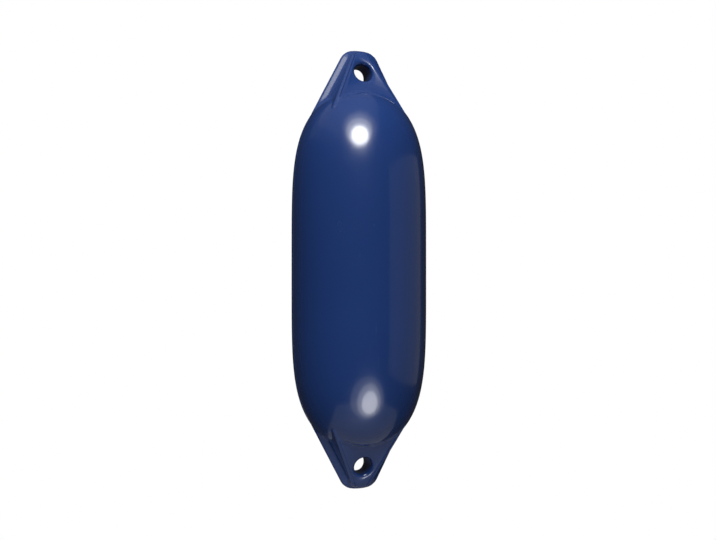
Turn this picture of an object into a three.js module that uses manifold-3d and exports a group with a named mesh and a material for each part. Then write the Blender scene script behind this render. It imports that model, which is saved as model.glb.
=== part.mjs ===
// Inflatable boat fender with a moulded eye at each end.
// Millimetres, +Z up. The origin is the centre of the upper eye, from which the fender hangs.
// The eyes' holes run along Y, and both eyes lie in the XZ plane, which is the mould's parting plane.
// Heights inside the functions are counted from the middle of the body.

import * as THREE from 'three';
import { mergeVertices } from 'three/addons/utils/BufferGeometryUtils.js';
import Module from 'manifold-3d';

// Inflated body: a nearly straight wall that closes in a rounded crown at each end
const BODY_DIAMETER = 150;
const BODY_HALF_LENGTH = 200;
const WALL_STRAIGHTNESS = 4.8;
const CROWN_ROUNDNESS = 0.52;

// Parting line that runs round the body
const SEAM_WIDTH = 1.6;
const SEAM_HEIGHT = 0.35;

// Eyes: a tapered tongue at each end with a hole that a fender line passes through
const EYE_BEYOND_BODY = 16;
const TIP_BEYOND_EYE = 29;
const BORE_DIAMETER = 20;
const MOUTH_ROUNDING = 6;

// Flange: the web that the mould leaves round each eye, thin at its edge and sloping up to the cheeks
const FLANGE_TIP_WIDTH = 32;
const FLANGE_SPREAD_DEGREES = 27.6;
const FLANGE_EDGE_THICKNESS = 2.8;
const FLANGE_EDGE_ROUNDING = 0.8;
const FLANGE_BAND_WIDTH = 10;
const FLANGE_BAND_RISE = 4.6;
const TIP_CROWN_RADIUS = 34;
const TIP_CROWN_DEGREES = 15;
const TIP_CORNER_RADIUS = 8;

// Cheeks: the wedge that thickens each eye on both sides of its flange
const CHEEK_SIDE_SETBACK = 6.7;
const CHEEK_TIP_SETBACK = 4.5;
const CHEEK_HALF_THICKNESS = 17.8;
const CHEEK_FACE_DEGREES = 20.8;
const CHEEK_DRAFT_DEGREES = 8;
const CHEEK_EDGE_ROUNDING = 1.8;
const CHEEK_CORNER_RADIUS = 4;
const CHEEK_CROWN_RADIUS = 20;
const CHEEK_ROOT_RADIUS = 8;

// Panel: the shallow flat sunk in the face of each cheek
const PANEL_RIM_WIDTH = 1.8;
const PANEL_DEPTH = 0.7;
const PANEL_WALL_SLOPE = 0.8;

// Inflation valve on the back of the upper shoulder
const VALVE_BELOW_BODY_END = 58;
const VALVE_HEAD_DIAMETER = 17;
const VALVE_HEAD_THICKNESS = 2.6;
const VALVE_HEAD_ROUNDING = 0.8;
const VALVE_HEAD_SINK = 0.2;
const VALVE_SHANK_DIAMETER = 8;
const VALVE_SHANK_LENGTH = 12;
const VALVE_SLOT_WIDTH = 1.8;
const VALVE_SLOT_DEPTH = 1.2;
const VALVE_CLEARANCE = 0.3;

// Fineness of the curved surfaces
const BODY_SEGMENTS = 56;
const BODY_ROWS = 40;
const BORE_SEGMENTS = 36;
const MOUTH_STEPS = 5;
const CORNER_STEPS = 3;
const EDGE_STEPS = 3;
const FLANGE_EDGE_STEPS = 2;
const VALVE_SEGMENTS = 32;

// How far a cutter reaches past what it cuts
const OVERCUT = 1;

// Share of an edge that the rounding of one of its ends may take up
const ROUNDING_SHARE = 0.48;

// Points nearer to each other than this are one point
const SAME_POINT = 1e-4;

// Step in height of the search for the place where an eye is buried deepest
const SEARCH_STEP = 1;

// Colours as they show in daylight
const VINYL = new THREE.MeshStandardMaterial({ color: 0x1d3365, roughness: 0.28, metalness: 0 });
const VALVE_PLASTIC = new THREE.MeshStandardMaterial({ color: 0x1b1d22, roughness: 0.5, metalness: 0 });

// Sizes worked out from the ones above
const bodyRadius = BODY_DIAMETER / 2;
const eyeHeight = BODY_HALF_LENGTH + EYE_BEYOND_BODY;
const tipHeight = eyeHeight + TIP_BEYOND_EYE;
const boreRadius = BORE_DIAMETER / 2;
const flangeSpread = Math.tan(THREE.MathUtils.degToRad(FLANGE_SPREAD_DEGREES));
const faceSlope = Math.tan(THREE.MathUtils.degToRad(CHEEK_FACE_DEGREES));
const cheekDraft = Math.tan(THREE.MathUtils.degToRad(CHEEK_DRAFT_DEGREES));
const crownAngle = THREE.MathUtils.degToRad(TIP_CROWN_DEGREES);

const wasm = await Module();
wasm.setup();

// Closed geometry to a solid that can be joined and cut, and back

function toSolid(geometry) {
  const bare = geometry.clone();
  bare.deleteAttribute('normal');
  bare.deleteAttribute('uv');
  const merged = mergeVertices(bare, SAME_POINT);
  const index = merged.index.array;
  const triangles = [];
  for (let i = 0; i < index.length; i += 3) {
    const [a, b, c] = [index[i], index[i + 1], index[i + 2]];
    if (a !== b && b !== c && c !== a) {
      triangles.push(a, b, c);
    }
  }
  return new wasm.Manifold(new wasm.Mesh({
    numProp: 3,
    vertProperties: Float32Array.from(merged.attributes.position.array),
    triVerts: Uint32Array.from(triangles),
  }));
}

function toGeometry(solid) {
  const mesh = solid.getMesh();
  const geometry = new THREE.BufferGeometry();
  geometry.setAttribute('position', new THREE.BufferAttribute(mesh.vertProperties.slice(), 3));
  geometry.setIndex(new THREE.BufferAttribute(mesh.triVerts.slice(), 1));
  geometry.computeVertexNormals();
  return geometry;
}

// Profile of x = radius and y = height, turned about Z

function turned(profile, segments) {
  const geometry = new THREE.LatheGeometry(profile, segments);
  geometry.rotateX(Math.PI / 2);
  return geometry;
}

// Outline of x and height, made a plate of even thickness on both sides of the parting plane

function plateInPartingPlane(shape, thickness) {
  const geometry = new THREE.ExtrudeGeometry(shape, { depth: thickness, bevelEnabled: false });
  geometry.translate(0, 0, -thickness / 2);
  geometry.rotateX(Math.PI / 2);
  return geometry;
}

// Closed loft through rings of equal count, from the back ring at +Y to the front ring at -Y

function loft(rings) {
  const count = rings[0].length;
  const triangles = [];
  for (let r = 0; r + 1 < rings.length; r++) {
    for (let i = 0; i < count; i++) {
      const a = r * count + i;
      const b = r * count + ((i + 1) % count);
      triangles.push(a, b, b + count, a, b + count, a + count);
    }
  }
  const capOf = (ring) => {
    const outline = ring.map((point) => new THREE.Vector2(point.x, point.z));
    return THREE.ShapeUtils.triangulateShape(outline, []);
  };
  for (const [a, b, c] of capOf(rings[0])) {
    triangles.push(a, c, b);
  }
  const front = (rings.length - 1) * count;
  for (const [a, b, c] of capOf(rings.at(-1))) {
    triangles.push(front + a, front + b, front + c);
  }
  const positions = rings.flat().flatMap((point) => [point.x, point.y, point.z]);
  const geometry = new THREE.BufferGeometry();
  geometry.setAttribute('position', new THREE.Float32BufferAttribute(positions, 3));
  geometry.setIndex(triangles);
  return geometry;
}

// Polygon whose corners are rounded by arcs; each corner is { x, y, radius }, counter-clockwise

function roundedShape(corners) {
  const shape = new THREE.Shape();
  corners.forEach((corner, i) => {
    const here = new THREE.Vector2(corner.x, corner.y);
    const before = corners.at(i - 1);
    const after = corners[(i + 1) % corners.length];
    const back = new THREE.Vector2(before.x, before.y).sub(here).normalize();
    const ahead = new THREE.Vector2(after.x, after.y).sub(here).normalize();
    const halfAngle = Math.acos(THREE.MathUtils.clamp(back.dot(ahead), -1, 1)) / 2;
    const edge = Math.min(here.distanceTo(before), here.distanceTo(after));
    const reach = Math.min(corner.radius / Math.tan(halfAngle), ROUNDING_SHARE * edge);
    const radius = reach * Math.tan(halfAngle);
    const start = here.clone().addScaledVector(back, reach);
    if (i === 0) {
      shape.moveTo(start.x, start.y);
    } else {
      shape.lineTo(start.x, start.y);
    }
    if (radius > 0) {
      const inward = back.clone().add(ahead).normalize();
      const centre = here.clone().addScaledVector(inward, radius / Math.sin(halfAngle));
      const end = here.clone().addScaledVector(ahead, reach);
      const from = start.clone().sub(centre).angle();
      const to = end.clone().sub(centre).angle();
      shape.absarc(centre.x, centre.y, radius, from, to, false);
    }
  });
  shape.closePath();
  return shape;
}

// Points of a closed outline, each corner once, so that like outlines have like counts

function distinctPoints(shape) {
  const points = shape.getPoints(CORNER_STEPS);
  return points.filter((point, i) => point.distanceTo(points.at(i - 1)) > SAME_POINT);
}

// Body of revolution

function bodyRadiusAt(z) {
  const share = Math.min(Math.abs(z) / BODY_HALF_LENGTH, 1);
  return bodyRadius * (1 - share ** WALL_STRAIGHTNESS) ** CROWN_ROUNDNESS;
}

function bodyHeights() {
  const rows = Array.from({ length: BODY_ROWS + 1 }, (_, i) => i);
  return rows.map((i) => -BODY_HALF_LENGTH * Math.cos((Math.PI * i) / BODY_ROWS));
}

function bodySolid() {
  const profile = bodyHeights().map((z) => new THREE.Vector2(bodyRadiusAt(z), z));
  return toSolid(turned(profile, BODY_SEGMENTS));
}

// Low ridge that follows the body's outline in the parting plane

function seamSolid() {
  const right = bodyHeights().map((z) => new THREE.Vector2(bodyRadiusAt(z) + SEAM_HEIGHT, z));
  const left = right.map((point) => new THREE.Vector2(-point.x, point.y)).reverse();
  return toSolid(plateInPartingPlane(new THREE.Shape([...right, ...left]), SEAM_WIDTH));
}

// Upper eye: widths and thicknesses grow in straight lines from the tip down to the body

function flangeHalfWidthAt(z) {
  return FLANGE_TIP_WIDTH / 2 + (tipHeight - z) * flangeSpread;
}

function faceHalfThicknessAt(z) {
  return CHEEK_HALF_THICKNESS + (eyeHeight - z) * faceSlope;
}

// Tongue outline with straight flared sides, rounded shoulders and a gently arched tip

function tongueTip(halfWidthAt, top, cornerRadius, crownRadius) {
  const lift = crownRadius * (1 / Math.cos(crownAngle) - 1);
  const spread = halfWidthAt(top - 1) - halfWidthAt(top);
  const half = (halfWidthAt(top) - lift * spread) / (1 - spread * Math.tan(crownAngle));
  const shoulder = top + lift - half * Math.tan(crownAngle);
  return [
    { x: half, y: shoulder, radius: cornerRadius },
    { x: 0, y: top + lift, radius: crownRadius },
    { x: -half, y: shoulder, radius: cornerRadius },
  ];
}

// Height on the body's shoulder that a pair of flared edges is buried deepest at

function deepestHeight(reachAt) {
  let best = BODY_HALF_LENGTH;
  for (let z = BODY_HALF_LENGTH; z > BODY_HALF_LENGTH / 2; z -= SEARCH_STEP) {
    if (bodyRadiusAt(z) - reachAt(z) > bodyRadiusAt(best) - reachAt(best)) {
      best = z;
    }
  }
  return best;
}

// The flange ends under the body's surface

const flangeRoot = deepestHeight(flangeHalfWidthAt);

// The flange's outline at a given distance off the parting plane, drawn in by a given inset

function flangeRing(offPlane, inset) {
  const halfWidthAt = (z) => flangeHalfWidthAt(z) - inset;
  const shape = roundedShape([
    { x: -halfWidthAt(flangeRoot), y: flangeRoot, radius: 0 },
    { x: halfWidthAt(flangeRoot), y: flangeRoot, radius: 0 },
    ...tongueTip(halfWidthAt, tipHeight - inset, TIP_CORNER_RADIUS, TIP_CROWN_RADIUS),
  ]);
  return distinctPoints(shape).map((point) => new THREE.Vector3(point.x, offPlane, point.y));
}

// Thin rounded edge with a sloping band inside it, alike on the back (side 1) and the front (side -1)

function flangeSolid() {
  const steps = Array.from(
    { length: FLANGE_EDGE_STEPS + 1 },
    (_, i) => (Math.PI / 2) * (i / FLANGE_EDGE_STEPS),
  );
  const edge = (side) => steps.map((turn) => {
    const offPlane = FLANGE_EDGE_THICKNESS / 2 - FLANGE_EDGE_ROUNDING * (1 - Math.sin(turn));
    return flangeRing(side * offPlane, FLANGE_EDGE_ROUNDING * (1 - Math.cos(turn)));
  });
  const bandTop = (side) => {
    const offPlane = FLANGE_EDGE_THICKNESS / 2 + FLANGE_BAND_RISE;
    return flangeRing(side * offPlane, FLANGE_BAND_WIDTH);
  };
  return toSolid(loft([bandTop(1), ...edge(1).reverse(), ...edge(-1), bandTop(-1)]));
}

// A cheek's outline at a given depth under its sloping face, drawn in by a given inset

function cheekHalfWidthAt(z, depth, inset) {
  const offPlane = Math.max(faceHalfThicknessAt(z) - depth, 0);
  return flangeHalfWidthAt(z) - CHEEK_SIDE_SETBACK - offPlane * cheekDraft - inset;
}

// The cheeks' lower corners turn in under the body's surface

const cheekCornerReach = (z) => Math.hypot(cheekHalfWidthAt(z, 0, 0), faceHalfThicknessAt(z));
const cheekRoot = deepestHeight(cheekCornerReach) - CHEEK_ROOT_RADIUS;

// The same outline on the back (side 1), on the front (side -1) or in the parting plane (side 0)

function cheekRing(side, depth, inset) {
  const top = tipHeight - CHEEK_TIP_SETBACK;
  const drawnIn = Math.max(faceHalfThicknessAt(top) - depth, 0) * cheekDraft + inset;
  const halfWidthAt = (z) => cheekHalfWidthAt(z, depth, inset);
  const shape = roundedShape([
    { x: -halfWidthAt(cheekRoot), y: cheekRoot, radius: CHEEK_ROOT_RADIUS },
    { x: halfWidthAt(cheekRoot), y: cheekRoot, radius: CHEEK_ROOT_RADIUS },
    ...tongueTip(halfWidthAt, top - drawnIn, CHEEK_CORNER_RADIUS, CHEEK_CROWN_RADIUS),
  ]);
  const outline = distinctPoints(shape);
  const offPlane = (z) => Math.max(faceHalfThicknessAt(z) - depth, 0);
  return outline.map((point) => new THREE.Vector3(point.x, side * offPlane(point.y), point.y));
}

// Both cheeks in one loft, from the back face through the parting plane to the front face

function cheeksSolid() {
  const steps = Array.from({ length: EDGE_STEPS + 1 }, (_, i) => (Math.PI / 2) * (i / EDGE_STEPS));
  const edge = (side) => steps.map((turn) => {
    const depth = CHEEK_EDGE_ROUNDING * (1 - Math.sin(turn));
    const inset = CHEEK_EDGE_ROUNDING * (1 - Math.cos(turn));
    return cheekRing(side, depth, inset);
  });
  const middle = cheekRing(0, faceHalfThicknessAt(cheekRoot), 0);
  return toSolid(loft([...edge(1).reverse(), middle, ...edge(-1)]));
}

// Shallow panel cut into the face of one cheek

function panelCutter(side) {
  const floorInset = CHEEK_EDGE_ROUNDING + PANEL_RIM_WIDTH;
  const mouthInset = floorInset - PANEL_WALL_SLOPE * (1 + OVERCUT / PANEL_DEPTH);
  const floor = cheekRing(side, PANEL_DEPTH, floorInset);
  const mouth = cheekRing(side, -OVERCUT, mouthInset);
  return toSolid(loft(side > 0 ? [mouth, floor] : [floor, mouth]));
}

// Hole through the eye. Its rings stay parallel to the sloping faces, so both mouths are rounded evenly

function eyeRing(side, depth, radius) {
  const angles = Array.from({ length: BORE_SEGMENTS }, (_, i) => (2 * Math.PI * i) / BORE_SEGMENTS);
  return angles.map((angle) => {
    const z = eyeHeight + radius * Math.sin(angle);
    return new THREE.Vector3(radius * Math.cos(angle), side * (faceHalfThicknessAt(z) - depth), z);
  });
}

function eyeCutter() {
  const steps = Array.from({ length: MOUTH_STEPS + 1 }, (_, i) => (Math.PI / 2) * (i / MOUTH_STEPS));
  const mouth = (side) => steps.map((turn) => {
    const depth = PANEL_DEPTH + MOUTH_ROUNDING * (1 - Math.sin(turn));
    const radius = boreRadius + MOUTH_ROUNDING * (1 - Math.cos(turn));
    return eyeRing(side, depth, radius);
  });
  const outside = (side) => eyeRing(side, -OVERCUT, boreRadius + MOUTH_ROUNDING);
  const back = [outside(1), ...mouth(1).reverse()];
  const front = [...mouth(-1), outside(-1)];
  return toSolid(loft([...back, ...front]));
}

function upperEyeGeometry() {
  let eye = flangeSolid().add(cheeksSolid());
  for (const side of [1, -1]) {
    eye = eye.subtract(panelCutter(side));
  }
  return toGeometry(eye);
}

// Valve pocket, its axis square to the body's surface at the valve's height

const valveHeight = BODY_HALF_LENGTH - VALVE_BELOW_BODY_END;
const valveLean = Math.atan(bodyRadiusAt(valveHeight) - bodyRadiusAt(valveHeight + 1));
const valvePlace = new THREE.Object3D();
valvePlace.position.set(0, bodyRadiusAt(valveHeight), valveHeight);
valvePlace.rotation.x = valveLean - Math.PI / 2;
valvePlace.updateMatrix();

function valvePocketSolid() {
  const floor = -VALVE_HEAD_SINK - VALVE_HEAD_THICKNESS - VALVE_CLEARANCE;
  const end = floor - VALVE_SHANK_LENGTH;
  const wide = VALVE_HEAD_DIAMETER / 2 + VALVE_CLEARANCE;
  const narrow = VALVE_SHANK_DIAMETER / 2 + VALVE_CLEARANCE;
  const profile = [
    new THREE.Vector2(0, end),
    new THREE.Vector2(narrow, end),
    new THREE.Vector2(narrow, floor),
    new THREE.Vector2(wide, floor),
    new THREE.Vector2(wide, wide),
    new THREE.Vector2(0, wide),
  ];
  return toSolid(turned(profile, VALVE_SEGMENTS).applyMatrix4(valvePlace.matrix));
}

// Fender body: one moulded piece with its seam, both eyes and the valve seat

function fenderBodyGeometry() {
  const upperEye = upperEyeGeometry();
  const upperHole = toGeometry(eyeCutter());
  let body = bodySolid().add(seamSolid());
  for (const turn of [0, Math.PI]) {
    body = body.add(toSolid(upperEye.clone().rotateX(turn)));
    body = body.subtract(toSolid(upperHole.clone().rotateX(turn)));
  }
  return toGeometry(body.subtract(valvePocketSolid()));
}

// Valve plug: a slotted head on a plain shank, drawn with the body's surface at height 0

function valvePlugGeometry() {
  const top = -VALVE_HEAD_SINK;
  const under = top - VALVE_HEAD_THICKNESS;
  const head = VALVE_HEAD_DIAMETER / 2;
  const shank = VALVE_SHANK_DIAMETER / 2;
  const profile = [
    new THREE.Vector2(0, under - VALVE_SHANK_LENGTH),
    new THREE.Vector2(shank, under - VALVE_SHANK_LENGTH),
    new THREE.Vector2(shank, under),
    new THREE.Vector2(head, under),
    new THREE.Vector2(head, top - VALVE_HEAD_ROUNDING),
    new THREE.Vector2(head - VALVE_HEAD_ROUNDING, top),
    new THREE.Vector2(0, top),
  ];
  const slotHeight = VALVE_SLOT_DEPTH + OVERCUT;
  const slot = new THREE.BoxGeometry(VALVE_HEAD_DIAMETER + OVERCUT, VALVE_SLOT_WIDTH, slotHeight);
  slot.translate(0, 0, top - VALVE_SLOT_DEPTH + slotHeight / 2);
  return toGeometry(toSolid(turned(profile, VALVE_SEGMENTS)).subtract(toSolid(slot)));
}

// Assembly, lowered so that the upper eye's centre is the origin

const fenderBody = new THREE.Mesh(fenderBodyGeometry(), VINYL);
fenderBody.name = 'fender_body';

const valvePlug = new THREE.Mesh(valvePlugGeometry(), VALVE_PLASTIC);
valvePlug.name = 'valve_plug';
valvePlug.position.copy(valvePlace.position);
valvePlug.rotation.copy(valvePlace.rotation);

const fender = new THREE.Group();
fender.name = 'boat_fender';
fender.position.z = -eyeHeight;
fender.add(fenderBody, valvePlug);

export default fender;
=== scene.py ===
"""Boat fender of glossy navy vinyl, hung free in a plain white studio.

The fender is one moulding: an inflated barrel with domed ends and, at each end, a moulded eye that a line
passes through. A slotted plug closes the inflation valve on the back of the upper shoulder. Lengths are in
metres, +Z is up, and the origin is the centre of the upper eye's hole.
"""

import logging
import math
from contextlib import contextmanager
from dataclasses import dataclass, field
from enum import Enum
from typing import Any, Callable, Iterator, Sequence

import bmesh
import bpy
from mathutils import Matrix, Vector


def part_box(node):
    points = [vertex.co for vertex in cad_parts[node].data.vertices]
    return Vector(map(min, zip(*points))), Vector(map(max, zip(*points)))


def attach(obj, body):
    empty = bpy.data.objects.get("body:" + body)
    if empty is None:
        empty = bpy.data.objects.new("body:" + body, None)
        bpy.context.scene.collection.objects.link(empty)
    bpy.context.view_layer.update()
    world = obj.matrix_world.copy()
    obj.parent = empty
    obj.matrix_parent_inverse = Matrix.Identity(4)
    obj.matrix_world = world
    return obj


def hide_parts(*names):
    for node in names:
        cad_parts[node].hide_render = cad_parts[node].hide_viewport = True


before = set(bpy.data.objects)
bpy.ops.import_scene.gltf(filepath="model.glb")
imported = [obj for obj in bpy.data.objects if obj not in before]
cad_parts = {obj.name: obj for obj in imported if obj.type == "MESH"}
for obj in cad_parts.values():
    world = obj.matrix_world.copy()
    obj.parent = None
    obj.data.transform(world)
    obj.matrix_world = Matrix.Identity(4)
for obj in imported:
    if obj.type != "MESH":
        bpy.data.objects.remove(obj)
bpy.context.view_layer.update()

MM = 0.001
TINY = 0.01 * MM  # Two places that are nearer than this are taken as one.
WELD_DISTANCE = 1e-6  # Vertices that are nearer than this are merged.
PLANE_TOLERANCE = 1e-7  # A vertex that is nearer to a plane than this lies in it.
SMOOTH_ANGLE = math.radians(35)  # Edges that turn by more than this stay sharp.
NOISE_SPAN = (0.2, 0.8)  # Nearly all of a noise lies in this range.
LOG = logging.getLogger("boat_fender")


class Element(Enum):
    """Kind of mesh element that is selected."""

    VERTEX = ("VERT", "verts")
    EDGE = ("EDGE", "edges")
    FACE = ("FACE", "faces")


class Outline(Enum):
    """Outline of a softbox."""

    RECTANGLE = "RECTANGLE"
    ELLIPSE = "ELLIPSE"


class Join(Enum):
    """How one solid is put together with another."""

    UNION = "UNION"
    DIFFERENCE = "DIFFERENCE"


@contextmanager
def editing(piece: bpy.types.Object) -> Iterator[None]:
    """Open a piece alone in edit mode with everything selected.

    Args:
        piece: The mesh object to shape.
    """
    activate(piece)
    bpy.ops.object.mode_set(mode="EDIT")
    bpy.ops.mesh.select_mode(type="VERT")
    bpy.ops.mesh.select_all(action="SELECT")
    yield
    bpy.ops.object.mode_set(mode="OBJECT")


def activate(piece: bpy.types.Object) -> None:
    """Make a piece the only selected object and the active one.

    Args:
        piece: The object to work on next.
    """
    bpy.ops.object.select_all(action="DESELECT")
    piece.select_set(True)
    bpy.context.view_layer.objects.active = piece


def pick(piece: bpy.types.Object, element: Element, test: Callable[[Any], bool]) -> int:
    """Select the elements of a piece in edit mode that pass a test.

    Args:
        piece: The mesh object in edit mode.
        element: The kind of element to select.
        test: Says whether an element is wanted.

    Returns:
        How many elements were selected.
    """
    mode, sequence = element.value
    bpy.ops.mesh.select_mode(type=mode)
    bpy.ops.mesh.select_all(action="DESELECT")
    mesh = bmesh.from_edit_mesh(piece.data)
    wanted = [item for item in getattr(mesh, sequence) if test(item)]
    for item in wanted:
        item.select_set(True)
    mesh.select_flush_mode()
    bmesh.update_edit_mesh(piece.data)
    return len(wanted)


def apply_modifier(piece: bpy.types.Object, kind: str, **settings: Any) -> None:
    """Add a modifier to a piece, set it and apply it.

    Args:
        piece: The mesh object to change.
        kind: The modifier's type.
        **settings: The modifier's settings by name.
    """
    activate(piece)
    modifier = piece.modifiers.new(kind.lower(), kind)
    for name, value in settings.items():
        setattr(modifier, name, value)
    bpy.ops.object.modifier_apply(modifier=modifier.name)


def combine(
    piece: bpy.types.Object, other: bpy.types.Object, join: Join, solver: str = "MANIFOLD"
) -> None:
    """Join another solid to a piece or cut it out, and use the other solid up.

    Args:
        piece: The solid that is kept.
        other: The solid that is joined or cut out.
        join: Which of the two is done.
        solver: The boolean solver that does it.
    """
    apply_modifier(piece, "BOOLEAN", operation=join.value, solver=solver, object=other)
    bpy.data.objects.remove(other, do_unlink=True)


def duplicate(piece: bpy.types.Object, name: str) -> bpy.types.Object:
    """Copy a piece with a mesh of its own.

    Args:
        piece: The object to copy.
        name: The copy's name.

    Returns:
        The copy.
    """
    copy = piece.copy()
    copy.data = piece.data.copy()
    copy.name = name
    bpy.context.scene.collection.objects.link(copy)
    return copy


def shade_smooth(piece: bpy.types.Object) -> None:
    """Shade a piece smooth all over but for its sharp edges.

    Args:
        piece: The finished mesh object.
    """
    activate(piece)
    bpy.ops.object.shade_smooth_by_angle(angle=SMOOTH_ANGLE)


def log_piece(piece: bpy.types.Object) -> None:
    """Log a piece's name and how many faces it has.

    Args:
        piece: The mesh object that was just built.
    """
    LOG.info("%s: %d faces", piece.name, len(piece.data.polygons))


def chain(name: str, points: Sequence[Vector]) -> bpy.types.Object:
    """Draw an open chain of edges by extruding one vertex from point to point.

    Args:
        name: The new object's name.
        points: The chain's points in order.

    Returns:
        The object, with only vertices and edges.
    """
    bpy.ops.object.select_all(action="DESELECT")
    bpy.ops.mesh.primitive_plane_add(size=1.0, location=(0.0, 0.0, 0.0))
    piece = bpy.context.object
    piece.name = name
    with editing(piece):
        bpy.ops.mesh.merge(type="CENTER")
        bpy.ops.transform.translate(value=points[0])
        for start, end in zip(points, points[1:]):
            bpy.ops.mesh.extrude_region_move(TRANSFORM_OT_translate={"value": end - start})
    return piece


def spun(name: str, profile: Sequence[Vector], axis: Vector, steps: int) -> bpy.types.Object:
    """Turn a profile that starts and ends on an axis through the origin into a closed solid.

    Args:
        name: The new object's name.
        profile: The profile's points in order.
        axis: The axis that the profile turns about.
        steps: Number of steps round the axis.

    Returns:
        The solid.
    """
    piece = chain(name, profile)
    with editing(piece):
        bpy.ops.mesh.spin(steps=steps, angle=math.tau, center=(0.0, 0.0, 0.0), axis=axis)
        bpy.ops.mesh.select_all(action="SELECT")
        bpy.ops.mesh.remove_doubles(threshold=WELD_DISTANCE)
        bpy.ops.mesh.normals_make_consistent(inside=False)
    return piece


@dataclass
class BodyShape:
    """Outline of the inflated body, a nearly straight wall that closes in a rounded crown at each end.

    The radius is a superellipse of the height: straightness is the power of the height and keeps the wall
    straight, and roundness is the power of the whole and sets how full the crown is.
    """

    upper_eye_to_body: float = 16 * MM
    seam_height: float = 0.35 * MM
    straightness: float = 4.8
    roundness: float = 0.52
    radius: float = field(init=False)
    half_length: float = field(init=False)
    middle: float = field(init=False)

    def __post_init__(self) -> None:
        """Take the body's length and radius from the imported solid."""
        low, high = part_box("fender_body")
        self.radius = (high.x - low.x) / 2 - self.seam_height
        self.middle = (high.z + low.z) / 2
        self.half_length = -self.upper_eye_to_body - self.middle

    def radius_at(self, z: float) -> float:
        """Give the body's radius at a height.

        Args:
            z: Height in the fender's own frame.

        Returns:
            The radius there, nought past the body's ends.
        """
        share = min(abs(z - self.middle) / self.half_length, 1.0)
        return self.radius * (1 - share**self.straightness) ** self.roundness

    def slope_at(self, z: float) -> float:
        """Give how fast the radius grows with height.

        Args:
            z: Height in the fender's own frame.

        Returns:
            Change of radius for each metre of height.
        """
        return (self.radius_at(z + TINY) - self.radius_at(z - TINY)) / (2 * TINY)

    def outline(self, low: float, high: float, rows: int, proud: float = 0.0) -> list[Vector]:
        """Give points of the body's outline in the parting plane, closer together towards both ends.

        Args:
            low: Height of the first point.
            high: Height of the last point.
            rows: Number of steps between them.
            proud: How far the points stand off the outline.

        Returns:
            The points, on the side of positive X.
        """
        turn_low = math.acos((self.middle - low) / self.half_length)
        turn_high = math.acos((self.middle - high) / self.half_length)
        points = []
        for row in range(rows + 1):
            turn = turn_low + (turn_high - turn_low) * row / rows
            z = self.middle - self.half_length * math.cos(turn)
            points.append(Vector((self.radius_at(z) + proud, 0.0, z)))
        return points


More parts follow.
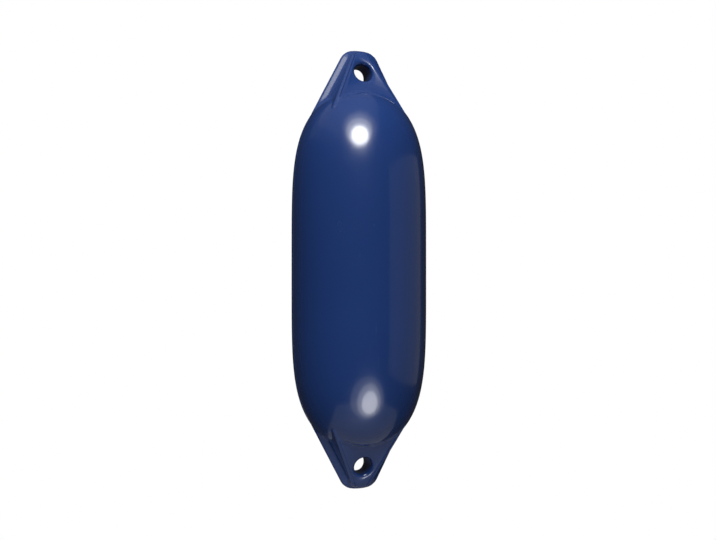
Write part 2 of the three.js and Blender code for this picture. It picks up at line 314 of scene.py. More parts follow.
@dataclass
class EyeShape:
    """Sizes of the moulded eye. Widths and thicknesses grow in straight lines from the tip down to the body.

    A setback is how far a piece stands in from the flange's edge, and a draft is the share of the width or
    height that is left at the front of a drafted block.
    """

    tip_height: float = 29.03 * MM
    root_height: float = -46 * MM
    tip_half_width: float = 16 * MM
    spread: float = math.tan(math.radians(27.6))
    tip_lift: float = 2.6 * MM
    tip_corner: float = 8.0 * MM
    edge_half_thickness: float = 1.4 * MM
    band_width: float = 9.0 * MM
    band_rise: float = 5.1 * MM
    cheek_setback: float = 8.0 * MM
    cheek_tip_setback: float = 2.0 * MM
    cheek_half_thickness: float = 19.0 * MM
    face_angle: float = math.radians(22.8)
    cheek_corner: float = 3.0 * MM
    cheek_reach: float = 45 * MM
    side_draft: float = 0.86
    tip_draft: float = 0.91
    cheek_edge_rounding: float = 2.0 * MM
    rim_width: float = 0.6 * MM
    crease_rim: float = 3.0 * MM
    panel_depth: float = 0.7 * MM
    panel_slope: float = 1.1
    panel_overcut: float = 0.2 * MM
    bore_radius: float = 10 * MM
    bore_overrun: float = 6 * MM
    mouth_rounding: float = 4.5 * MM
    guard_rows: int = 48
    corner_segments: int = 6
    edge_segments: int = 6
    bore_segments: int = 64
    mouth_segments: int = 8

    @property
    def face_slope(self) -> float:
        """Thickness that each face loses for each metre of height."""
        return math.tan(self.face_angle)

    def half_width_at(self, z: float) -> float:
        """Give the flange's half width at a height.

        Args:
            z: Height above the hole's centre.

        Returns:
            The distance from the middle to the flange's edge.
        """
        return self.tip_half_width + (self.tip_height - z) * self.spread

    def tongue(self, name: str, top: float, setback: float, corner: float) -> bpy.types.Object:
        """Lay out the eye's tapered outline as one face in the parting plane.

        Args:
            name: The new object's name.
            top: Height of the tip.
            setback: How far the straight sides stand in from the flange's edge.
            corner: Length of edge that each rounded corner of the tip takes up, nought for sharp corners.

        Returns:
            A flat face with its corners at the tip rounded.
        """
        bpy.ops.object.select_all(action="DESELECT")
        bpy.ops.mesh.primitive_plane_add(size=1.0, rotation=(math.pi / 2, 0.0, 0.0))
        piece = bpy.context.object
        piece.name = name
        bpy.ops.object.transform_apply(location=True, rotation=True, scale=True)
        wide = self.half_width_at(self.root_height) - setback
        narrow = self.half_width_at(top) - setback
        with editing(piece):
            size = (2 * wide, 1.0, top - self.root_height)
            bpy.ops.transform.resize(value=size, center_override=(0, 0, 0))
            bpy.ops.transform.translate(value=(0.0, 0.0, (top + self.root_height) / 2))
            pick(piece, Element.VERTEX, lambda vertex: vertex.co.z > 0)
            bpy.ops.transform.resize(value=(narrow / wide, 1.0, 1.0), center_override=(0, 0, 0))
            pick(piece, Element.EDGE, lambda edge: all(end.co.z > 0 for end in edge.verts))
            bpy.ops.mesh.subdivide(number_cuts=1)
            pick(piece, Element.VERTEX, lambda vertex: vertex.co.z > 0 and abs(vertex.co.x) < MM)
            bpy.ops.transform.translate(value=(0.0, 0.0, self.tip_lift))
            if corner > 0.0:
                for is_rounded in (
                    lambda vertex: vertex.co.z > 0 and abs(vertex.co.x) > MM,
                    lambda vertex: vertex.co.z > top and abs(vertex.co.x) < TINY,
                ):
                    pick(piece, Element.VERTEX, is_rounded)
                    bpy.ops.mesh.bevel(
                        offset=corner, segments=self.corner_segments, affect="VERTICES", clamp_overlap=True
                    )
        return piece

    def flange(self) -> bpy.types.Object:
        """Build the web round the eye: a thin edge at the parting line and a band that slopes up to the cheek.

        Returns:
            The flange's solid, from front to back.
        """
        piece = self.tongue("flange", self.tip_height - self.tip_lift, 0.0, self.tip_corner)
        with editing(piece):
            bpy.ops.mesh.extrude_region_move(
                TRANSFORM_OT_translate={"value": (0.0, -self.edge_half_thickness, 0.0)}
            )
            bpy.ops.mesh.inset(thickness=self.band_width, depth=self.band_rise)
        self.close_across_parting_plane(piece)
        log_piece(piece)
        return piece

    def close_across_parting_plane(self, piece: bpy.types.Object) -> None:
        """Open the back of a front half, which lies in the parting plane, and mirror the half there.

        Args:
            piece: The front half, which becomes a closed whole.
        """
        with editing(piece):
            pick(piece, Element.FACE, lambda face: all(abs(v.co.y) < PLANE_TOLERANCE for v in face.verts))
            bpy.ops.mesh.delete(type="FACE")
        apply_modifier(
            piece,
            "MIRROR",
            use_axis=(False, True, False),
            use_clip=True,
            use_mirror_merge=True,
            merge_threshold=WELD_DISTANCE,
        )
        with editing(piece):
            bpy.ops.mesh.remove_doubles(threshold=WELD_DISTANCE)
            bpy.ops.mesh.normals_make_consistent(inside=False)

    @property
    def face_normal(self) -> Vector:
        """Direction that the front face looks in, forward and up."""
        return Vector((0.0, -math.cos(self.face_angle), math.sin(self.face_angle)))

    def lies_on_face(self, edge: bmesh.types.BMEdge, point: Vector) -> bool:
        """Say whether an edge lies in the plane that is parallel to the front face and holds a point.

        Args:
            edge: The edge in question.
            point: Any point of the plane.

        Returns:
            Whether both ends lie in that plane.
        """
        return all(abs((end.co - point).dot(self.face_normal)) < TINY for end in edge.verts)

    def wedge(self, name: str, top: float, setback: float, corner: float) -> bpy.types.Object:
        """Draw the cheek's outline out to the front, narrowing as the mould's draft asks.

        Args:
            name: The new object's name.
            top: Height of the tip's corners in the parting plane.
            setback: How far the sides stand in from the flange's edge.
            corner: Length of edge that each rounded corner of the tip takes up, nought for sharp corners.

        Returns:
            A tapered block that starts in the parting plane.
        """
        piece = self.tongue(name, top, setback, corner)
        draft = (self.side_draft, 1.0, self.tip_draft)
        with editing(piece):
            bpy.ops.mesh.extrude_region_move(TRANSFORM_OT_translate={"value": (0.0, -self.cheek_reach, 0.0)})
            bpy.ops.transform.resize(value=draft, center_override=(0.0, 0.0, self.root_height))
            bpy.ops.mesh.select_all(action="SELECT")
            bpy.ops.mesh.normals_make_consistent(inside=False)
        return piece

    def cheeks(self) -> bpy.types.Object:
        """Build the wedge that thickens the eye on both sides, with a rounded edge.

        Returns:
            The solid of both cheeks.
        """
        top = self.tip_height - self.cheek_tip_setback - self.tip_lift
        piece = self.wedge("cheeks", top, self.cheek_setback, self.cheek_corner)
        centre = Vector((0.0, -self.cheek_half_thickness, 0.0))
        with editing(piece):
            bpy.ops.mesh.bisect(plane_co=centre, plane_no=self.face_normal, use_fill=True, clear_outer=True)
            pick(piece, Element.EDGE, lambda edge: self.lies_on_face(edge, centre))
            bpy.ops.mesh.bevel(offset=self.cheek_edge_rounding, segments=self.edge_segments, affect="EDGES")
        self.close_across_parting_plane(piece)
        log_piece(piece)
        return piece

    def panel_cutter(self, body: BodyShape) -> bpy.types.Object:
        """Build what sinks the flat panel in the front face.

        The panel keeps clear of the face's sides and of the dome, and is open at the tip.

        Args:
            body: The body that the eye grows out of.

        Returns:
            The cutter for the front.
        """
        setback = self.cheek_setback + self.cheek_edge_rounding + self.rim_width
        piece = self.wedge("panel_cutter", self.tip_height, setback, 0.0)
        start = Vector((0.0, -self.cheek_half_thickness, 0.0)) + self.face_normal * self.panel_overcut
        sunk = self.panel_depth + self.panel_overcut
        with editing(piece):
            bpy.ops.mesh.bisect(plane_co=start, plane_no=self.face_normal, use_fill=True, clear_inner=True)
            pick(piece, Element.FACE, lambda face: all(self.lies_on_face(edge, start) for edge in face.edges))
            bpy.ops.mesh.inset(thickness=sunk * self.panel_slope, depth=sunk)
        low, high = self.root_height * 2, -body.upper_eye_to_body
        outline = body.outline(low, high, self.guard_rows, self.crease_rim)
        profile = [Vector((0.0, 0.0, outline[0].z)), *outline, Vector((0.0, 0.0, outline[-1].z))]
        guard = spun("dome_guard", profile, Vector((0.0, 0.0, 1.0)), self.bore_segments)
        combine(piece, guard, Join.DIFFERENCE)
        log_piece(piece)
        return piece

    def mouth_cutter(self) -> bpy.types.Object:
        """Build what cuts the front half of the hole, with a mouth that is rounded evenly on the sloping face.

        Returns:
            The cutter, which reaches a little past the parting plane.
        """
        face = -self.cheek_half_thickness + self.panel_depth
        front = face - self.mouth_rounding
        wide = self.bore_radius + self.mouth_rounding
        profile = [Vector((0.0, front, 0.0)), Vector((wide, front, 0.0))]
        for step in range(self.mouth_segments + 1):
            turn = math.pi / 2 * step / self.mouth_segments
            across = wide - self.mouth_rounding * math.sin(turn)
            deep = face + self.mouth_rounding * (1 - math.cos(turn))
            profile.append(Vector((across, deep, 0.0)))
        profile.append(Vector((self.bore_radius, self.bore_overrun, 0.0)))
        profile.append(Vector((0.0, self.bore_overrun, 0.0)))
        piece = spun("mouth_cutter", profile, Vector((0.0, 1.0, 0.0)), self.bore_segments)
        lean = Matrix.Identity(4)
        lean[1][2] = self.face_slope
        piece.data.transform(lean)
        log_piece(piece)
        return piece


@dataclass
class FenderBody:
    """The vinyl moulding: barrel, domed ends, parting line, both eyes and the seat of the valve.

    The upper end is one skin down to join_height, the barrel is drawn out from its open ring, and the lower
    end is a copy of the upper one. Vertices nearer to the body of revolution than settle_full are laid on it,
    and from there to settle_none ever less.
    """

    shape: BodyShape
    eye: EyeShape
    valve: "ValvePlug"
    join_height: float = -50 * MM
    stub_depth: float = 8 * MM
    voxel: float = 1.0 * MM
    smoothing_rounds: int = 6
    dome_steps: int = 256
    dome_rows: int = 60
    barrel_rows: int = 48
    ring_spacing: float = 0.5 * MM
    settle_full: float = 0.15 * MM
    settle_none: float = 0.5 * MM
    fillet_reach: float = 4 * MM
    fillet_rounds: int = 10
    ridge_width: float = 1.2 * MM

    def upper_end(self) -> bpy.types.Object:
        """Build the upper dome with its eye as one skin, open where the barrel starts.

        Returns:
            The skin above the join.
        """
        low = self.join_height - self.stub_depth
        outline = self.shape.outline(low, -self.shape.upper_eye_to_body, self.dome_rows)
        profile = [Vector((0.0, 0.0, low)), *outline]
        piece = spun("fender_skin", profile, Vector((0.0, 0.0, 1.0)), self.dome_steps)
        combine(piece, self.eye.flange(), Join.UNION)
        combine(piece, self.eye.cheeks(), Join.UNION)
        front = self.eye.mouth_cutter()
        back = duplicate(front, "mouth_cutter_back")
        self.face_backward(back)
        combine(piece, front, Join.DIFFERENCE)
        combine(piece, back, Join.DIFFERENCE)
        apply_modifier(piece, "REMESH", mode="VOXEL", voxel_size=self.voxel)
        self.make_symmetric(piece)
        apply_modifier(piece, "SMOOTH", factor=0.5, iterations=self.smoothing_rounds)
        self.round_the_crease(piece)
        self.settle(piece)
        LOG.info("upper end: %d faces", len(piece.data.polygons))
        return piece

    def turned_over(self, piece: bpy.types.Object, name: str) -> bpy.types.Object:
        """Copy a piece of the upper end to the lower end.

        Args:
            piece: The piece of the upper end.
            name: The copy's name.

        Returns:
            The copy, turned half round about the fender's middle.
        """
        copy = duplicate(piece, name)
        to_middle = Matrix.Translation((0.0, 0.0, self.shape.middle))
        copy.data.transform(to_middle @ Matrix.Rotation(math.pi, 4, "X") @ to_middle.inverted())
        return copy

    def sink_panels(self, piece: bpy.types.Object) -> None:
        """Sink a flat panel in the front and the back of both eyes.

        Args:
            piece: The closed skin.
        """
        front = self.eye.panel_cutter(self.shape)
        back = duplicate(front, "panel_cutter_back")
        self.face_backward(back)
        low_front = self.turned_over(front, "panel_cutter_low")
        low_back = self.turned_over(back, "panel_cutter_low_back")
        cutters = (front, back, low_front, low_back)
        for cutter in cutters:
            combine(piece, cutter, Join.DIFFERENCE)
        LOG.info("panels sunk: %d", len(cutters))

    def face_backward(self, piece: bpy.types.Object) -> None:
        """Mirror a front piece across the parting plane.

        Args:
            piece: The closed piece to turn to the back.
        """
        piece.data.transform(Matrix.Diagonal((1.0, -1.0, 1.0, 1.0)))
        piece.data.flip_normals()

    def make_symmetric(self, piece: bpy.types.Object) -> None:
        """Keep one quarter of a skin and mirror it to the other three.

        Args:
            piece: The skin to make alike on all sides.
        """
        with editing(piece):
            for side in (Vector((1.0, 0.0, 0.0)), Vector((0.0, 1.0, 0.0))):
                bpy.ops.mesh.select_all(action="SELECT")
                bpy.ops.mesh.bisect(plane_co=(0.0, 0.0, 0.0), plane_no=side, clear_outer=True)
            bpy.ops.mesh.select_all(action="SELECT")
            bpy.ops.mesh.bisect(
                plane_co=(0.0, 0.0, self.join_height), plane_no=(0.0, 0.0, -1.0), clear_outer=True
            )
            bpy.ops.mesh.select_all(action="SELECT")
            bpy.ops.mesh.remove_doubles(threshold=self.voxel / 20)
            pick(piece, Element.VERTEX, self.is_on_ring)
            bpy.ops.mesh.remove_doubles(threshold=self.ring_spacing)
            self.lay_in_plane(piece, 0)
            self.lay_in_plane(piece, 1)
        apply_modifier(
            piece,
            "MIRROR",
            use_axis=(True, True, False),
            use_mirror_merge=True,
            merge_threshold=self.voxel / 100,
        )

    def is_on_ring(self, vertex: bmesh.types.BMVert) -> bool:
        """Say whether a vertex is on the open ring where the barrel starts.

        Args:
            vertex: A vertex of the skin.

        Returns:
            Whether it is on the skin's edge and at the height of the join.
        """
        return vertex.is_boundary and abs(vertex.co.z - self.join_height) < self.voxel / 10

    def lay_in_plane(self, piece: bpy.types.Object, axis: int) -> None:
        """Lay the open edge of a quarter skin exactly in a plane of symmetry.

        Args:
            piece: The quarter, in edit mode.
            axis: The coordinate that is nought in the plane.
        """
        mesh = bmesh.from_edit_mesh(piece.data)
        nearest = min(abs(vertex.co[axis]) for vertex in mesh.verts if self.is_on_ring(vertex))

        def is_near(vertex: bmesh.types.BMVert) -> bool:
            """Say whether a vertex of the open edge is to be laid in the plane."""
            reach = nearest + self.voxel / 1000 if self.is_on_ring(vertex) else self.voxel / 10
            return vertex.is_boundary and abs(vertex.co[axis]) < reach

        pick(piece, Element.VERTEX, is_near)
        flat = [0.0 if index == axis else 1.0 for index in range(3)]
        bpy.ops.transform.resize(value=flat, center_override=(0.0, 0.0, 0.0))

    def stand_off(self, point: Vector) -> float:
        """Give how far a point stands off the body of revolution.

        Args:
            point: A point near the body's surface.

        Returns:
            The distance, positive outside.
        """
        slope = self.shape.slope_at(point.z)
        return (math.hypot(point.x, point.y) - self.shape.radius_at(point.z)) / math.hypot(1.0, slope)

    def round_the_crease(self, piece: bpy.types.Object) -> None:
        """Widen the fillet in which the eye grows out of the dome.

        Args:
            piece: The skin of the upper end.
        """
        group = piece.vertex_groups.new(name="crease")
        top = -self.shape.upper_eye_to_body
        for vertex in piece.data.vertices:
            off = self.stand_off(vertex.co) if vertex.co.z < top else self.fillet_reach
            group.add([vertex.index], max(0.0, 1.0 - abs(off) / self.fillet_reach), "REPLACE")
        apply_modifier(
            piece, "SMOOTH", factor=0.5, iterations=self.fillet_rounds, vertex_group=group.name
        )
        piece.vertex_groups.clear()

    def settle(self, piece: bpy.types.Object) -> None:
        """Lay the vertices that are nearly on the body of revolution exactly on it.

        Args:
            piece: The skin to lay.
        """
        for vertex in piece.data.vertices:
            off = self.stand_off(vertex.co)
            share = (self.settle_none - abs(off)) / (self.settle_none - self.settle_full)
            share = min(max(share, 0.0), 1.0)
            if share > 0.0 and vertex.co.z < -self.shape.upper_eye_to_body:
                outward = Vector((vertex.co.x, vertex.co.y, 0.0)).normalized()
                outward.z = -self.shape.slope_at(vertex.co.z)
                vertex.co -= outward.normalized() * off * share
        mesh = bmesh.new()
        mesh.from_mesh(piece.data)
        for vertex in mesh.verts:
            if vertex.is_boundary:
                share = self.shape.radius_at(self.join_height) / math.hypot(vertex.co.x, vertex.co.y)
                vertex.co = Vector((vertex.co.x * share, vertex.co.y * share, self.join_height))
        mesh.to_mesh(piece.data)
        mesh.free()

    def build(self) -> bpy.types.Object:
        """Build the whole moulding.

        Returns:
            The finished skin, closed all over.
        """
        upper = self.upper_end()
        other_join = 2 * self.shape.middle - self.join_height
        with editing(upper):
            pick(upper, Element.EDGE, lambda edge: edge.is_boundary)
            bpy.ops.mesh.duplicate()
            bpy.ops.mesh.separate(type="SELECTED")
        barrel = next(o for o in bpy.context.selected_objects if o is not upper)
        rows = self.shape.outline(other_join, self.join_height, self.barrel_rows)[::-1]
        with editing(barrel):
            for above, below in zip(rows, rows[1:]):
                bpy.ops.mesh.extrude_region_move(
                    TRANSFORM_OT_translate={"value": (0.0, 0.0, below.z - above.z)}
                )
                share = below.x / above.x
                bpy.ops.transform.resize(value=(share, share, 1.0), center_override=(0.0, 0.0, below.z))
        lower = self.turned_over(upper, "lower_end")
        activate(upper)
        barrel.select_set(True)
        lower.select_set(True)
        bpy.ops.object.join()
        with editing(upper):
            bpy.ops.mesh.remove_doubles(threshold=self.ring_spacing / 10)
            bpy.ops.mesh.normals_make_consistent(inside=False)
        self.sink_panels(upper)
        combine(upper, self.valve.pocket(), Join.DIFFERENCE)
        combine(upper, self.ridge(), Join.UNION, "EXACT")
        shade_smooth(upper)
        return upper

    def ridge(self) -> bpy.types.Object:
        """Build the low ridge that the mould's parting line leaves down both sides.

        Returns:
            A plate in the parting plane that stands just proud of the body.
        """
        rows = self.shape.outline(
            2 * self.shape.middle + self.shape.upper_eye_to_body,
            -self.shape.upper_eye_to_body,
            self.dome_rows * 2,
            self.shape.seam_height,
        )
        left = [Vector((-point.x, 0.0, point.z)) for point in reversed(rows)]
        piece = chain("ridge", [*rows, *left])
        with editing(piece):
            bpy.ops.mesh.edge_face_add()
            bpy.ops.mesh.normals_make_consistent(inside=False)
            bpy.ops.transform.translate(value=(0.0, -self.ridge_width / 2, 0.0))
            bpy.ops.mesh.extrude_region_move(TRANSFORM_OT_translate={"value": (0.0, self.ridge_width, 0.0)})
            bpy.ops.mesh.select_all(action="SELECT")
            bpy.ops.mesh.normals_make_consistent(inside=False)
        log_piece(piece)
        return piece


@dataclass
class ValvePlug:
    """Slotted plug that closes the inflation valve, sunk in the back of the upper shoulder."""

    shape: BodyShape
    below_body_end: float = 58 * MM
    head_diameter: float = 17 * MM
    head_thickness: float = 2.6 * MM
    head_rounding: float = 0.8 * MM
    head_sink: float = 0.2 * MM
    shank_diameter: float = 8 * MM
    shank_length: float = 12 * MM
    slot_width: float = 1.8 * MM
    slot_depth: float = 1.2 * MM
    clearance: float = 0.3 * MM
    overcut: float = 1.0 * MM
    pocket_overcut: float = 3.0 * MM
    sides: int = 96
    head_segments: int = 4

    @property
    def pose(self) -> Matrix:
        """Place of the plug's own frame, whose Z points straight out of the body's surface."""
        z = -self.shape.upper_eye_to_body - self.below_body_end
        lean = math.atan((self.shape.radius_at(z) - self.shape.radius_at(z + MM)) / MM)
        place = Matrix.Translation((0.0, self.shape.radius_at(z), z))
        return place @ Matrix.Rotation(lean - math.pi / 2, 4, "X")

    def cylinder(self, name: str, diameter: float, low: float, high: float) -> bpy.types.Object:
        """Add a cylinder on the plug's axis.

        Args:
            name: The new object's name.
            diameter: The cylinder's diameter.
            low: Height of its lower end above the body's surface.
            high: Height of its upper end.

        Returns:
            The cylinder, still standing at the origin.
        """
        middle = (0.0, 0.0, (low + high) / 2)
        bpy.ops.object.select_all(action="DESELECT")
        bpy.ops.mesh.primitive_cylinder_add(
            vertices=self.sides, radius=diameter / 2, depth=high - low, location=middle
        )
        piece = bpy.context.object
        piece.name = name
        bpy.ops.object.transform_apply(location=True, rotation=True, scale=True)
        return piece

    def pocket(self) -> bpy.types.Object:
        """Build what cuts the seat of the plug out of the skin.

        Returns:
            The cutter in its place.
        """
        floor = -self.head_sink - self.head_thickness - self.clearance
        wide, narrow = (size + 2 * self.clearance for size in (self.head_diameter, self.shank_diameter))
        piece = self.cylinder("valve_pocket", wide, floor, self.pocket_overcut)
        neck = self.cylinder("valve_neck", narrow, floor - self.shank_length, floor + self.overcut)
        combine(piece, neck, Join.UNION)
        piece.data.transform(self.pose)
        log_piece(piece)
        return piece

    def is_rim(self, edge: bmesh.types.BMEdge) -> bool:
        """Say whether an edge is one of the short ones round the top of the head.

        Args:
            edge: An edge of the plug, in the plug's own frame.

        Returns:
            Whether the edge is part of the rim that gets rounded.
        """
        is_on_top = all(abs(end.co.z + self.head_sink) < TINY for end in edge.verts)
        return is_on_top and edge.calc_length() < self.head_rounding

    def build(self) -> bpy.types.Object:
        """Build the plug with its rounded head and the slot that a coin turns it by.

        Returns:
            The plug in its place.
        """
        top = -self.head_sink
        under = top - self.head_thickness
        piece = self.cylinder("valve_plug_visual", self.head_diameter, under, top)
        bpy.ops.object.select_all(action="DESELECT")
        bpy.ops.mesh.primitive_cube_add(size=1.0, location=(0.0, 0.0, 0.0))
        slot = bpy.context.object
        with editing(slot):
            size = (self.head_diameter + self.overcut, self.slot_width, 2 * self.slot_depth)
            bpy.ops.transform.resize(value=size)
            bpy.ops.transform.translate(value=(0.0, 0.0, top))
        combine(piece, slot, Join.DIFFERENCE, "EXACT")
        with editing(piece):
            pick(piece, Element.EDGE, self.is_rim)
            bpy.ops.mesh.bevel(offset=self.head_rounding, segments=self.head_segments, affect="EDGES")
        low, high = under - self.shank_length, under + self.slot_depth / 2
        combine(piece, self.cylinder("valve_shank", self.shank_diameter, low, high), Join.UNION)
        piece.data.transform(self.pose)
        shade_smooth(piece)
        return piece


@dataclass(frozen=True)
class Noise:
    """One layer of procedural noise in the fender's own coordinates."""

    scale: float
    detail: float = 3.0
    stretch: tuple[float, float, float] = (1.0, 1.0, 1.0)

    def add_to(self, tree: bpy.types.NodeTree) -> bpy.types.NodeSocket:
        """Add the layer's nodes to a node tree.

        Args:
            tree: The tree of a material or group.

        Returns:
            The socket that gives the noise, from 0 to 1.
        """
        place = tree.nodes.new("ShaderNodeTexCoord")
        mapping = tree.nodes.new("ShaderNodeMapping")
        mapping.inputs["Scale"].default_value = self.stretch
        noise = tree.nodes.new("ShaderNodeTexNoise")
        noise.inputs["Scale"].default_value = self.scale
        noise.inputs["Detail"].default_value = self.detail
        tree.links.new(place.outputs["Object"], mapping.inputs["Vector"])
        tree.links.new(mapping.outputs["Vector"], noise.inputs["Vector"])
        return noise.outputs["Fac"]


def in_range(
    tree: bpy.types.NodeTree,
    value: bpy.types.NodeSocket,
    source: tuple[float, float],
    target: tuple[float, float],
) -> bpy.types.NodeSocket:
    """Map a varying value from one range to another and hold it there.

    Args:
        tree: The tree that the node goes into.
        value: The socket with the value.
        source: The range that is read.
        target: The range that comes out.

    Returns:
        The socket with the mapped value.
    """
    node = tree.nodes.new("ShaderNodeMapRange")
    node.inputs["From Min"].default_value, node.inputs["From Max"].default_value = source
    node.inputs["To Min"].default_value, node.inputs["To Max"].default_value = target
    tree.links.new(value, node.inputs["Value"])
    return node.outputs["Result"]


@dataclass(frozen=True)
class Mark:
    """A faint rub on the front of the skin, an ellipse in the fender's own coordinates."""

    x: float
    z: float
    half_width: float
    half_height: float
    strength: float


@dataclass(frozen=True)
class HandlingMarks:
    """Faint rubs where the skin has been handled, broken up by the slight unevenness of the moulded surface.
    """

    name: str = "handling_marks"
    front: float = 75 * MM  # Distance of the marked side from the fender's axis.
    reach: float = 40 * MM  # How deep behind that side a mark still shows.
    fade: tuple[float, float] = (0.3, 1.0)  # Where a mark starts to fade, and where it ends.
    grain: Noise = Noise(scale=900.0, detail=2.0, stretch=(1.0, 1.0, 0.15))
    grain_span: tuple[float, float] = (0.40, 0.60)
    marks: tuple[Mark, ...] = (
        Mark(-7.8 * MM, -172 * MM, 2.2 * MM, 2.0 * MM, 0.9),
        Mark(-5.6 * MM, -280 * MM, 0.9 * MM, 17 * MM, 0.7),
        Mark(-11.5 * MM, -298 * MM, 0.8 * MM, 9 * MM, 0.6),
        Mark(-3.0 * MM, -313 * MM, 0.8 * MM, 10 * MM, 0.6),
        Mark(-28 * MM, -176 * MM, 4.0 * MM, 1.2 * MM, 0.5),
        Mark(-22 * MM, -203 * MM, 1.2 * MM, 5.0 * MM, 0.5),
    )

    def group(self) -> bpy.types.NodeTree:
        """Make the node group, which puts out how much each spot is rubbed.

        Returns:
            The group, with one value from 0 to 1.
        """
        tree = bpy.data.node_groups.new(self.name, "ShaderNodeTree")
        tree.interface.new_socket("Rubbed", in_out="OUTPUT", socket_type="NodeSocketFloat")
        place = tree.nodes.new("ShaderNodeTexCoord")
        total = None
        for mark in self.marks:
            mapping = tree.nodes.new("ShaderNodeMapping")
            mapping.vector_type = "TEXTURE"
            mapping.inputs["Location"].default_value = (mark.x, -self.front, mark.z)
            mapping.inputs["Scale"].default_value = (mark.half_width, self.reach, mark.half_height)
            length = tree.nodes.new("ShaderNodeVectorMath")
            length.operation = "LENGTH"
            tree.links.new(place.outputs["Object"], mapping.inputs["Vector"])
            tree.links.new(mapping.outputs["Vector"], length.inputs[0])
            part = in_range(tree, length.outputs["Value"], self.fade, (mark.strength, 0.0))
            if total is not None:
                larger = tree.nodes.new("ShaderNodeMath")
                larger.operation = "MAXIMUM"
                tree.links.new(total, larger.inputs[0])
                tree.links.new(part, larger.inputs[1])
                part = larger.outputs["Value"]
            total = part
        rough = in_range(tree, self.grain.add_to(tree), self.grain_span, (0.0, 1.0))
        rubbed = tree.nodes.new("ShaderNodeMath")
        rubbed.operation = "MULTIPLY"
        tree.links.new(total, rubbed.inputs[0])
        tree.links.new(rough, rubbed.inputs[1])
        end = tree.nodes.new("NodeGroupOutput")
        tree.links.new(rubbed.outputs["Value"], end.inputs["Rubbed"])
        return tree


@dataclass(frozen=True)
class Vinyl:
    """Glossy moulded vinyl, faintly uneven as it comes from the mould, with light handling marks."""

    name: str = "navy_vinyl"
    color: tuple[float, float, float] = (0.0108, 0.0330, 0.134)
    deep_color: tuple[float, float, float] = (0.0098, 0.0300, 0.124)
    roughness: tuple[float, float] = (0.20, 0.28)
    specular_level: float = 0.25
    coat_weight: float = 1.0
    coat_roughness: float = 0.10
    rubbed_color: tuple[float, float, float] = (0.019, 0.046, 0.155)
    clouds: Noise = Noise(scale=14.0)
    smears: Noise = Noise(scale=40.0)
    marks: HandlingMarks = HandlingMarks()

    def material(self) -> bpy.types.Material:
        """Make the vinyl's material.

        Returns:
            The material.
        """
        material = bpy.data.materials.new(self.name)
        material.use_nodes = True
        tree = material.node_tree
        shader = tree.nodes["Principled BSDF"]
        shader.inputs["Specular IOR Level"].default_value = self.specular_level
        shader.inputs["Coat Weight"].default_value = self.coat_weight
        shader.inputs["Coat Roughness"].default_value = self.coat_roughness
        clouds = self.clouds.add_to(tree)
        mix = tree.nodes.new("ShaderNodeMix")
        mix.data_type = "RGBA"
        mix.inputs["A"].default_value = (*self.color, 1.0)
        mix.inputs["B"].default_value = (*self.deep_color, 1.0)
        tree.links.new(in_range(tree, clouds, NOISE_SPAN, (0.0, 1.0)), mix.inputs["Factor"])
        rubbed = tree.nodes.new("ShaderNodeGroup")
        rubbed.node_tree = self.marks.group()
        worn = tree.nodes.new("ShaderNodeMix")
        worn.data_type = "RGBA"
        worn.inputs["B"].default_value = (*self.rubbed_color, 1.0)
        tree.links.new(rubbed.outputs["Rubbed"], worn.inputs["Factor"])
        tree.links.new(mix.outputs["Result"], worn.inputs["A"])
        tree.links.new(worn.outputs["Result"], shader.inputs["Base Color"])
        smears = self.smears.add_to(tree)
        tree.links.new(in_range(tree, smears, NOISE_SPAN, self.roughness), shader.inputs["Roughness"])
        return material


@dataclass(frozen=True)
class ValvePlastic:
    """Dull dark grey plastic of the valve's plug."""

    name: str = "valve_plastic"
    color: tuple[float, float, float] = (0.0110, 0.0123, 0.0160)
    roughness: tuple[float, float] = (0.46, 0.54)
    grain: Noise = Noise(scale=300.0)

    def material(self) -> bpy.types.Material:
        """Make the plug's material.

        Returns:
            The material.
        """
        material = bpy.data.materials.new(self.name)
        material.use_nodes = True
        tree = material.node_tree
        shader = tree.nodes["Principled BSDF"]
        shader.inputs["Base Color"].default_value = (*self.color, 1.0)
        grain = self.grain.add_to(tree)
        tree.links.new(in_range(tree, grain, NOISE_SPAN, self.roughness), shader.inputs["Roughness"])
        return material


@dataclass(frozen=True)
class Softbox:
    """A flat light that faces a point on the fender's axis, placed by its bearing from that point.

    Angles are in degrees. The light can be left out of gloss or of diffuse light, and slides sideways in its
    own plane.
    """

    name: str
    target_height: float
    bearing: float
    elevation: float
    distance: float
    width: float
    height: float
    radiance: float
    outline: Outline = Outline.RECTANGLE
    in_gloss: bool = True
    in_diffuse: bool = True
    slide: float = 0.0

    def add(self) -> bpy.types.Object:
        """Add the light to the scene.

        Returns:
            The light.
        """
        turn = math.radians(self.bearing)
        lift = math.radians(self.elevation)
        level = math.cos(lift)
        away = Vector((math.sin(turn) * level, -math.cos(turn) * level, math.sin(lift)))
        target = Vector((0.0, 0.0, self.target_height))
        facing = (-away).to_track_quat("-Z", "Y").to_euler()
        place = target + away * self.distance + facing.to_matrix() @ Vector((self.slide, 0.0, 0.0))
        bpy.ops.object.light_add(type="AREA", location=place, rotation=facing)
        light = bpy.context.object
        light.name = self.name
        light.data.shape = self.outline.value
        light.data.size = self.width
        light.data.size_y = self.height
        area = self.width * self.height * (math.pi / 4 if self.outline is Outline.ELLIPSE else 1.0)
        light.data.energy = self.radiance * math.pi * area
        light.visible_camera = False
        light.visible_glossy = self.in_gloss
        light.visible_diffuse = self.in_diffuse
        LOG.info("light %s: %.2f W", light.name, light.data.energy)
        return light


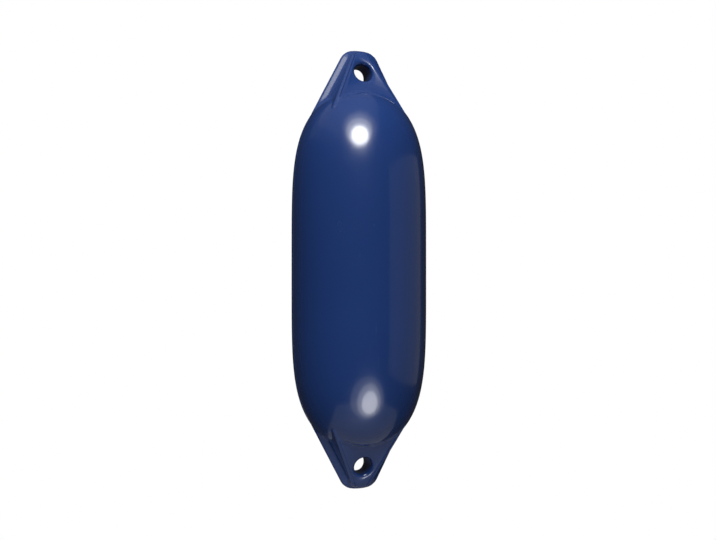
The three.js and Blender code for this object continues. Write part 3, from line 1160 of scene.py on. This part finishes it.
@dataclass
class Studio:
    """A plain white room: camera, softboxes, floor and white surroundings."""

    camera_bearing: float = -18.0
    camera_distance: float = 0.880
    camera_height: float = -0.2363
    focal_length: float = 39.58
    sensor_width: float = 36.0
    shift_x: float = -0.0012
    shift_y: float = 0.0251
    floor_height: float = -0.80
    floor_bearing: float = 21.7
    floor_ahead: float = 0.26
    floor_half_length: float = 0.86
    floor_half_width: float = 0.60
    floor_color: tuple[float, float, float] = (0.25, 0.25, 0.25)
    floor_roughness: float = 0.9
    floor_glow: float = 0.9
    gloss_level: float = 0.024
    ambient_level: float = 0.03

    def add_camera(self) -> None:
        """Place the camera level, a little to the left of the eyes' front."""
        turn = math.radians(self.camera_bearing)
        place = (
            self.camera_distance * math.sin(turn),
            -self.camera_distance * math.cos(turn),
            self.camera_height,
        )
        bpy.ops.object.camera_add(location=place, rotation=(math.pi / 2, 0.0, turn))
        camera = bpy.context.object
        camera.data.lens = self.focal_length
        camera.data.sensor_width = self.sensor_width
        camera.data.shift_x = self.shift_x
        camera.data.shift_y = self.shift_y
        bpy.context.scene.camera = camera

    def add_lights(self) -> None:
        """Hang the softboxes, placed as they are seen from the camera's bearing."""
        front = self.camera_bearing
        oval = Outline.ELLIPSE
        # Name, target height, bearing, elevation, distance, width, height, radiance.
        for light in (
            Softbox("key_core", -0.076, front + 2, 37.8, 1.50, 0.72, 0.48, 13.5, oval),
            Softbox("key_inner", -0.076, front + 1.5, 38.5, 1.51, 0.90, 0.63, 3.4, oval),
            Softbox("key_middle", -0.076, front + 0.5, 43, 1.52, 1.12, 0.82, 2.4, oval),
            Softbox("key_outer", -0.076, front + 0.5, 46, 1.53, 1.28, 1.08, 0.8, oval),
            Softbox("key_rim", -0.076, front + 2, 48, 1.54, 1.60, 1.24, 0.38, oval),
            Softbox("ceiling", -0.10, front + 20, 83, 1.6, 2.6, 3.0, 0.13, slide=-0.646),
            Softbox("ceiling_left", -0.10, front - 80, 50, 1.6, 1.8, 1.2, 0.07),
            Softbox("right_card", -0.20, front + 88, 0, 1.0, 1.5, 0.9, 0.15),
            Softbox("low_core", -0.354, front + 20.5, -33.5, 0.500, 0.22, 0.20, 4.4, oval, in_diffuse=False),
            Softbox("low_middle", -0.354, front + 19, -33, 0.505, 0.34, 0.29, 1.7, oval, in_diffuse=False),
            Softbox("low_rim", -0.354, front + 16, -32.5, 0.510, 0.52, 0.36, 0.6, oval, in_diffuse=False),
            Softbox("top_fill", -0.10, front, 80, 1.6, 1.0, 1.0, 5.0, in_gloss=False),
            Softbox("front_fill", -0.10, front - 18, 42, 0.9, 0.6, 0.6, 1.6, in_gloss=False),
            Softbox("low_fill", -0.432, front - 2, -33, 0.5, 0.3, 0.3, 3.7, in_gloss=False),
            Softbox("back_fill", -0.216, front + 180, 35, 1.5, 1.2, 1.0, 0.8, in_gloss=False),
        ):
            light.add()

    def add_floor(self) -> None:
        """Lay a plain floor under the hung fender, white to the camera but for the fender's shadow."""
        turn = math.radians(self.camera_bearing + self.floor_bearing)
        ahead = Vector((math.sin(turn), -math.cos(turn), 0.0))
        place = ahead * self.floor_ahead + Vector((0.0, 0.0, self.floor_height))
        bpy.ops.object.select_all(action="DESELECT")
        bpy.ops.mesh.primitive_circle_add(vertices=4, radius=1.0, fill_type="NGON")
        floor = bpy.context.object
        floor.name = "floor"
        with editing(floor):
            bpy.ops.transform.resize(value=(self.floor_half_width, self.floor_half_length, 1.0))
        floor.location = place
        floor.rotation_euler.z = turn
        material = bpy.data.materials.new("plain_floor")
        material.use_nodes = True
        tree = material.node_tree
        shader = tree.nodes["Principled BSDF"]
        shader.inputs["Base Color"].default_value = (*self.floor_color, 1.0)
        shader.inputs["Roughness"].default_value = self.floor_roughness
        shader.inputs["Specular IOR Level"].default_value = 0.0
        shader.inputs["Emission Color"].default_value = (1.0, 1.0, 1.0, 1.0)
        path = tree.nodes.new("ShaderNodeLightPath")
        seen = tree.nodes.new("ShaderNodeMath")
        seen.operation = "MULTIPLY"
        seen.inputs[1].default_value = self.floor_glow
        tree.links.new(path.outputs["Is Camera Ray"], seen.inputs[0])
        tree.links.new(seen.outputs["Value"], shader.inputs["Emission Strength"])
        floor.data.materials.append(material)

    def add_surroundings(self) -> None:
        """Make the world white where it is looked at or through, and as dim in gloss as the vinyl shows it."""
        world = bpy.data.worlds.new("white_room")
        bpy.context.scene.world = world
        world.use_nodes = True
        tree = world.node_tree
        back = tree.nodes["Background"]
        back.inputs["Color"].default_value = (1.0, 1.0, 1.0, 1.0)
        path = tree.nodes.new("ShaderNodeLightPath")
        strength = None
        for ray, level in (
            ("Is Camera Ray", 1.0),
            ("Is Transmission Ray", 1.0),
            ("Is Glossy Ray", self.gloss_level),
            ("Is Diffuse Ray", self.ambient_level),
        ):
            part = tree.nodes.new("ShaderNodeMath")
            part.operation = "MULTIPLY_ADD"
            part.inputs[1].default_value = level
            part.inputs[2].default_value = 0.0
            tree.links.new(path.outputs[ray], part.inputs[0])
            if strength is not None:
                tree.links.new(strength, part.inputs[2])
            strength = part.outputs["Value"]
        tree.links.new(strength, back.inputs["Strength"])


def dress(piece: bpy.types.Object, material: bpy.types.Material, node: str) -> None:
    """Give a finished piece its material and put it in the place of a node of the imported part.

    Args:
        piece: The finished piece.
        material: Its only material.
        node: The node that it takes the place of.
    """
    piece.data.materials.clear()
    piece.data.materials.append(material)
    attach(piece, "root")
    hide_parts(node)
    log_piece(piece)


def main() -> None:
    """Build the fender, dress it and light it."""
    logging.basicConfig(level=logging.INFO)
    bpy.ops.object.select_all(action="DESELECT")
    shape = BodyShape()
    valve = ValvePlug(shape)
    body = FenderBody(shape, EyeShape(), valve)
    dress(body.build(), Vinyl().material(), "fender_body")
    dress(valve.build(), ValvePlastic().material(), "valve_plug")
    studio = Studio()
    studio.add_camera()
    studio.add_lights()
    studio.add_floor()
    studio.add_surroundings()
    bpy.context.scene.view_settings.view_transform = "Standard"


if __name__ == "__main__":
    main()
